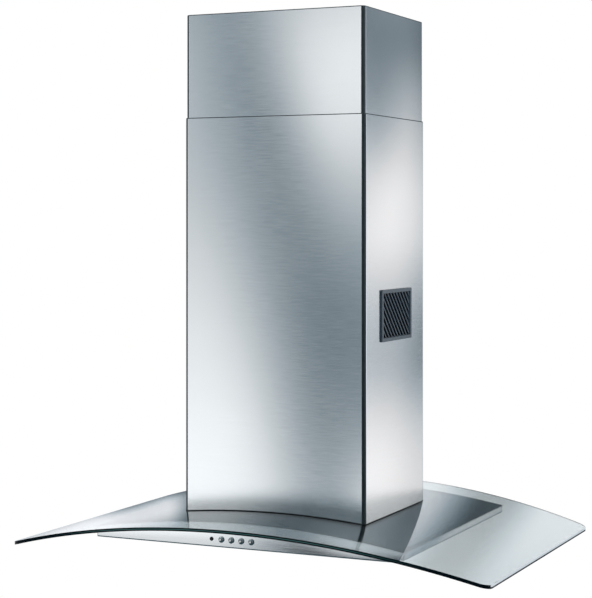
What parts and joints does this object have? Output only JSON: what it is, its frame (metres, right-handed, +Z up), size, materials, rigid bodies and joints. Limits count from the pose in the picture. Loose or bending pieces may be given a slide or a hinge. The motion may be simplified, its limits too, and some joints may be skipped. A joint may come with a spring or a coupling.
{
  "type": "island range hood",
  "caption": "Ceiling-hung island range hood: telescoping steel chimney over a shallow steel body under an arched glass canopy, with push buttons, grease filters and side outlets.",
  "frame": {"origin": "centre of the ceiling plate's top face, which is the middle of its four ceiling holes", "axes": "+Z up to the ceiling, +X to the right and -Y to the front, where the push buttons are"},
  "size_m": [0.898, 0.671, 0.9548],
  "materials": {
    "stainless": "horizontally brushed stainless steel",
    "galvanised": "galvanised sheet steel",
    "canopy_glass": "clear toughened glass, polished edges",
    "seal_rubber": "matt black rubber",
    "clear_silicone": "pale translucent silicone",
    "filter_aluminium": "plain aluminium",
    "chromed_metal": "polished",
    "black_plastic": "fine-grained black",
    "grey_plastic": "dark grey moulded",
    "motor_paint": "grey enamel",
    "lamp_glass": "frosted",
    "circuit_green": "solder mask",
    "white_plastic": "plain white",
    "bare_aluminium": "drawn can"
  },
  "bodies": {
    "ceiling_frame": {"ceiling_plate": "galvanised", "upper_frame": "galvanised"},
    "hood": {"lower_chimney": "stainless", "hood_body": "stainless", "underside_panel": "stainless", "lower_frame": "galvanised", "motor_box": "galvanised", "motor_bracket": "galvanised", "capacitor_clip": "galvanised", "glass_canopy": "canopy_glass", "chimney_seal": "seal_rubber", "ring_seal": "seal_rubber", "motor_grommets": "seal_rubber", "body_seal": "clear_silicone", "duct_sleeve": "filter_aluminium", "frame_screws": "chromed_metal", "glass_bolts": "chromed_metal", "lamp_bezels": "chromed_metal", "lamp_cups": "chromed_metal", "flap_pin": "chromed_metal", "grille_left": "black_plastic", "grille_right": "black_plastic", "switch_case": "black_plastic", "indicator_lens": "black_plastic", "junction_box": "black_plastic", "junction_lid": "black_plastic", "cable_gland": "black_plastic", "lamp_transformer": "black_plastic", "scroll_front": "grey_plastic", "scroll_rear": "grey_plastic", "outlet_collar": "grey_plastic", "air_deflector": "grey_plastic", "fan_motor": "motor_paint", "lamp_lenses": "lamp_glass", "lamp_bulbs": "lamp_glass", "control_board": "circuit_green", "terminal_block": "white_plastic", "capacitor": "bare_aluminium"},
    "upper_chimney_body": {"upper_chimney": "stainless", "chimney_screws": "chromed_metal"},
    "fan": {"fan_wheel": "grey_plastic", "motor_shaft": "chromed_metal"},
    "flap_left_body": {"flap_left": "grey_plastic"},
    "flap_right_body": {"flap_right": "grey_plastic"},
    "filter_left": {"filter_frame_left": "filter_aluminium", "filter_mesh_left": "filter_aluminium", "filter_springs_left": "chromed_metal"},
    "filter_right": {"filter_frame_right": "filter_aluminium", "filter_mesh_right": "filter_aluminium", "filter_springs_right": "chromed_metal"},
    "handle_left": {"filter_handle_left": "chromed_metal"},
    "handle_right": {"filter_handle_right": "chromed_metal"},
    "button_1_body": {"button_1": "chromed_metal"},
    "button_2_body": {"button_2": "chromed_metal"},
    "button_3_body": {"button_3": "chromed_metal"},
    "button_4_body": {"button_4": "chromed_metal"},
    "charcoal_front": {"charcoal_filter_front": "black_plastic"},
    "charcoal_rear": {"charcoal_filter_rear": "black_plastic"}
  },
  "joints": [
    {"name": "height_adjust", "type": "slide", "parent": "ceiling_frame", "child": "hood", "axis": [0, 0, 1], "range_m": [-0.09, 0.06]},
    {"name": "upper_chimney_slide", "type": "slide", "parent": "ceiling_frame", "child": "upper_chimney_body", "axis": [0, 0, 1], "range_m": [-0.09, 0]},
    {"name": "fan_spin", "type": "hinge", "parent": "hood", "child": "fan", "pos_m": [-0.045, 0, -0.77], "axis": [0, 1, 0], "continuous": true},
    {"name": "flap_left_open", "type": "hinge", "parent": "hood", "child": "flap_left_body", "pos_m": [0, 0, -0.6222], "axis": [0, 1, 0], "range_deg": [0, 75]},
    {"name": "flap_right_open", "type": "hinge", "parent": "hood", "child": "flap_right_body", "pos_m": [0, 0, -0.6222], "axis": [0, -1, 0], "range_deg": [0, 75]},
    {"name": "filter_left_open", "type": "hinge", "parent": "hood", "child": "filter_left", "pos_m": [-0.13, 0.1645, -0.93], "axis": [1, 0, 0], "range_deg": [0, 75]},
    {"name": "handle_left_fold", "type": "hinge", "parent": "filter_left", "child": "handle_left", "pos_m": [-0.13, -0.157, -0.9283], "axis": [-1, 0, 0], "range_deg": [0, 80]},
    {"name": "filter_right_open", "type": "hinge", "parent": "hood", "child": "filter_right", "pos_m": [0.13, 0.1645, -0.93], "axis": [1, 0, 0], "range_deg": [0, 75]},
    {"name": "handle_right_fold", "type": "hinge", "parent": "filter_right", "child": "handle_right", "pos_m": [0.13, -0.157, -0.9283], "axis": [-1, 0, 0], "range_deg": [0, 80]},
    {"name": "button_1_press", "type": "slide", "parent": "hood", "child": "button_1_body", "axis": [0, 1, 0], "range_m": [0, 0.0025], "stiffness_N_per_m": 800},
    {"name": "button_2_press", "type": "slide", "parent": "hood", "child": "button_2_body", "axis": [0, 1, 0], "range_m": [0, 0.0025], "stiffness_N_per_m": 800},
    {"name": "button_3_press", "type": "slide", "parent": "hood", "child": "button_3_body", "axis": [0, 1, 0], "range_m": [0, 0.0025], "stiffness_N_per_m": 800},
    {"name": "button_4_press", "type": "slide", "parent": "hood", "child": "button_4_body", "axis": [0, 1, 0], "range_m": [0, 0.0025], "stiffness_N_per_m": 800},
    {"name": "charcoal_front_turn", "type": "hinge", "parent": "hood", "child": "charcoal_front", "pos_m": [-0.045, -0.075, -0.77], "axis": [0, -1, 0], "range_deg": [0, 25]},
    {"name": "charcoal_rear_turn", "type": "hinge", "parent": "hood", "child": "charcoal_rear", "pos_m": [-0.045, 0.075, -0.77], "axis": [0, 1, 0], "range_deg": [0, 25]}
  ]
}
